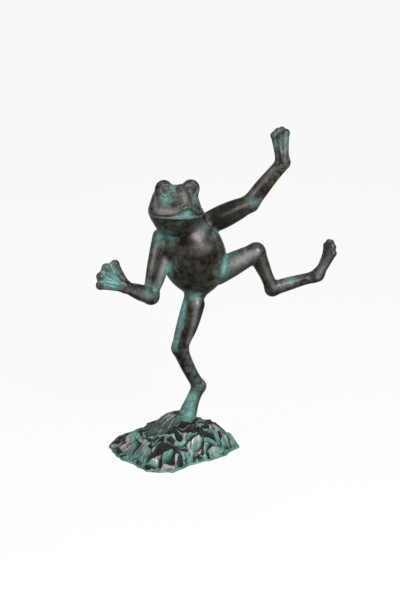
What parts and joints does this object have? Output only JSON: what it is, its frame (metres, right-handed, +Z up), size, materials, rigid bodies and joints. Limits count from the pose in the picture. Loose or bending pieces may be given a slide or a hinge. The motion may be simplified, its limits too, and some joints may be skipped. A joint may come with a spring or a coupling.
{
  "type": "dancing frog figurine",
  "caption": "Cast bronze-look frog that dances on one leg on a rock, arms raised and one leg kicked out; cast sections pinned together on a hollow base.",
  "frame": {"origin": "on the floor plane, under the middle of the rock base", "axes": "+Z up, the frog faces -Y, and the frog's own left side is towards +X"},
  "size_m": [0.3336, 0.1749, 0.4624],
  "materials": {
    "frog_bronze": "dark brown patina with blue-green verdigris in the folds, semi-gloss",
    "rock_bronze": "blue-green verdigris with dark brown raised edges, semi-matt",
    "pin_steel": "plain turned steel, hidden inside"
  },
  "bodies": {
    "root": {"base_rock": "rock_bronze", "right_foot": "frog_bronze", "right_tarsus": "frog_bronze", "right_shin": "frog_bronze", "right_thigh": "frog_bronze", "torso": "frog_bronze", "head": "frog_bronze", "right_upper_arm": "frog_bronze", "right_forearm": "frog_bronze", "right_hand": "frog_bronze", "left_upper_arm": "frog_bronze", "left_forearm": "frog_bronze", "left_hand": "frog_bronze", "left_thigh": "frog_bronze", "left_shin": "frog_bronze", "left_tarsus": "frog_bronze", "left_foot": "frog_bronze", "right_shoulder_dowel": "pin_steel", "right_elbow_dowel": "pin_steel", "right_wrist_dowel": "pin_steel", "right_hip_dowel": "pin_steel", "right_knee_dowel": "pin_steel", "right_heel_dowel": "pin_steel", "right_ankle_dowel": "pin_steel", "left_shoulder_dowel": "pin_steel", "left_elbow_dowel": "pin_steel", "left_wrist_dowel": "pin_steel", "left_hip_dowel": "pin_steel", "left_knee_dowel": "pin_steel", "left_heel_dowel": "pin_steel", "left_ankle_dowel": "pin_steel", "neck_pins": "pin_steel", "foot_stud": "pin_steel", "foot_washer": "pin_steel", "foot_nut": "pin_steel"}
  },
  "joints": []
}
